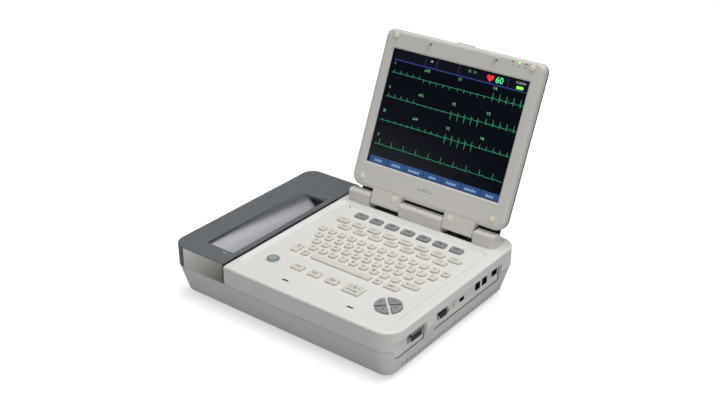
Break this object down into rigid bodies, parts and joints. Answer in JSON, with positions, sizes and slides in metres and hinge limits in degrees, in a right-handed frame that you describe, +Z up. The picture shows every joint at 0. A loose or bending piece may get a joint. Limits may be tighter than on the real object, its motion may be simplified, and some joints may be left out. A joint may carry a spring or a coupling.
{
  "type": "ecg machine",
  "caption": "Portable ECG recorder with a fold-up display lid, a key deck, a side printer under a windowed lift-up cover and side sockets.",
  "frame": {"origin": "centre of the footprint, on the table, at the underside of the middle foot", "axes": "+X towards the user's right, +Y away from the user, +Z up"},
  "size_m": [0.4097, 0.4047, 0.3465],
  "materials": {
    "casing": "satin",
    "slate": "satin",
    "silver": "satin",
    "bezel": "satin",
    "dark_shell": "satin",
    "key_grey": "matt",
    "key_cream": "matt",
    "power_blue": "matt",
    "bumper": "matt",
    "foot_rubber": "matt",
    "smoked_glass": "clear",
    "screen": "gloss",
    "lamp": "clear",
    "paper": "matt",
    "board": "satin",
    "socket_black": "satin",
    "socket_metal": "polished",
    "steel": "brushed",
    "brass": "polished",
    "roller_rubber": "matt",
    "gear_plastic": "satin",
    "label": "matt",
    "aluminium": "brushed",
    "battery": "satin"
  },
  "bodies": {
    "base": {"lower_casing": "casing", "upper_casing": "casing", "casing_screws": "steel", "rubber_feet": "foot_rubber", "battery_door": "casing", "battery_pack": "battery", "rating_plate": "label", "main_board": "board", "power_supply": "aluminium", "switch_board": "board", "power_collar": "key_cream", "patient_socket": "socket_black", "serial_socket": "socket_metal", "audio_jack": "gear_plastic", "small_port": "socket_black", "usb_ports": "socket_black", "network_port": "socket_black", "mains_inlet": "socket_black", "earth_terminal": "brass", "deck_lamp": "lamp", "printer_housing": "slate", "printer_front_panel": "silver", "printer_rear_cap": "slate", "paper_web": "paper", "thermal_head": "aluminium", "idler_pin": "steel", "printer_motor": "steel", "hinge_covers": "bezel", "hinge_pins": "steel"},
    "lid": {"display_bezel": "bezel", "display_back_cover": "dark_shell", "lcd_panel": "screen", "display_board": "board", "lid_bumpers": "bumper", "lid_lamps": "lamp", "lid_screws": "steel"},
    "latch_slider": {"latch_bar": "steel", "latch_button": "bezel"},
    "lift_cover": {"printer_cover": "slate", "printer_window": "smoked_glass", "cover_hinge_pins": "steel"},
    "paper_reel": {"paper_roll": "paper", "roll_spindle": "gear_plastic"},
    "feed_roller": {"platen_roller": "roller_rubber", "platen_gear": "gear_plastic"},
    "idler": {"idler_gear": "gear_plastic"},
    "drive_pinion": {"motor_pinion": "brass"},
    "power_key_body": {"power_key": "power_blue"},
    "function_keys_body": {"function_keys": "key_grey"},
    "patient_keys_body": {"patient_keys": "key_cream"},
    "character_keys_body": {"character_keys": "key_cream"},
    "modifier_keys_body": {"modifier_keys": "key_cream"},
    "space_bar_body": {"space_bar": "key_cream"},
    "command_keys_body": {"command_keys": "key_cream"},
    "start_key_body": {"start_key": "key_cream"},
    "nav_key_right_body": {"nav_key_right": "key_grey"},
    "nav_key_up_body": {"nav_key_up": "key_grey"},
    "nav_key_left_body": {"nav_key_left": "key_grey"},
    "nav_key_down_body": {"nav_key_down": "key_grey"}
  },
  "joints": [
    {"name": "lid_hinge", "type": "hinge", "parent": "base", "child": "lid", "pos_m": [0.052, 0.1282, 0.0945], "axis": [1, 0, 0], "range_deg": [-20, 112.85]},
    {"name": "latch_slide", "type": "slide", "parent": "lid", "child": "latch_slider", "axis": [1, 0, 0], "range_m": [0, 0.003]},
    {"name": "printer_cover_hinge", "type": "hinge", "parent": "base", "child": "lift_cover", "pos_m": [-0.104, 0, 0.0844], "axis": [0, 1, 0], "range_deg": [0, 70]},
    {"name": "paper_roll_spin", "type": "hinge", "parent": "base", "child": "paper_reel", "pos_m": [-0.1575, 0, 0.053], "axis": [0, 1, 0], "continuous": true},
    {"name": "platen_spin", "type": "hinge", "parent": "lift_cover", "child": "feed_roller", "pos_m": [-0.1952, 0, 0.08], "axis": [0, 1, 0], "continuous": true},
    {"name": "idler_spin", "type": "hinge", "parent": "base", "child": "idler", "pos_m": [-0.1952, 0, 0.06988], "axis": [0, 1, 0], "continuous": true},
    {"name": "pinion_spin", "type": "hinge", "parent": "base", "child": "drive_pinion", "pos_m": [-0.18676, 0, 0.065], "axis": [0, 1, 0], "continuous": true},
    {"name": "power_key_press", "type": "slide", "parent": "base", "child": "power_key_body", "axis": [0, 0, -1], "range_m": [0, 0.0015], "stiffness_N_per_m": 300},
    {"name": "function_keys_press", "type": "slide", "parent": "base", "child": "function_keys_body", "axis": [0, 0, -1], "range_m": [0, 0.0015], "stiffness_N_per_m": 300},
    {"name": "patient_keys_press", "type": "slide", "parent": "base", "child": "patient_keys_body", "axis": [0, 0, -1], "range_m": [0, 0.0015], "stiffness_N_per_m": 300},
    {"name": "character_keys_press", "type": "slide", "parent": "base", "child": "character_keys_body", "axis": [0, 0, -1], "range_m": [0, 0.0015], "stiffness_N_per_m": 300},
    {"name": "modifier_keys_press", "type": "slide", "parent": "base", "child": "modifier_keys_body", "axis": [0, 0, -1], "range_m": [0, 0.0015], "stiffness_N_per_m": 300},
    {"name": "space_bar_press", "type": "slide", "parent": "base", "child": "space_bar_body", "axis": [0, 0, -1], "range_m": [0, 0.0015], "stiffness_N_per_m": 300},
    {"name": "command_keys_press", "type": "slide", "parent": "base", "child": "command_keys_body", "axis": [0, 0, -1], "range_m": [0, 0.0015], "stiffness_N_per_m": 300},
    {"name": "start_key_press", "type": "slide", "parent": "base", "child": "start_key_body", "axis": [0, 0, -1], "range_m": [0, 0.0015], "stiffness_N_per_m": 300},
    {"name": "nav_key_right_press", "type": "slide", "parent": "base", "child": "nav_key_right_body", "axis": [0, 0, -1], "range_m": [0, 0.0015], "stiffness_N_per_m": 300},
    {"name": "nav_key_up_press", "type": "slide", "parent": "base", "child": "nav_key_up_body", "axis": [0, 0, -1], "range_m": [0, 0.0015], "stiffness_N_per_m": 300},
    {"name": "nav_key_left_press", "type": "slide", "parent": "base", "child": "nav_key_left_body", "axis": [0, 0, -1], "range_m": [0, 0.0015], "stiffness_N_per_m": 300},
    {"name": "nav_key_down_press", "type": "slide", "parent": "base", "child": "nav_key_down_body", "axis": [0, 0, -1], "range_m": [0, 0.0015], "stiffness_N_per_m": 300}
  ],
  "couplings": [
    {"joint": "platen_spin", "follows": "paper_roll_spin", "ratio": -5.4545},
    {"joint": "idler_spin", "follows": "paper_roll_spin", "ratio": 5.0649},
    {"joint": "pinion_spin", "follows": "paper_roll_spin", "ratio": -5.9091}
  ]
}
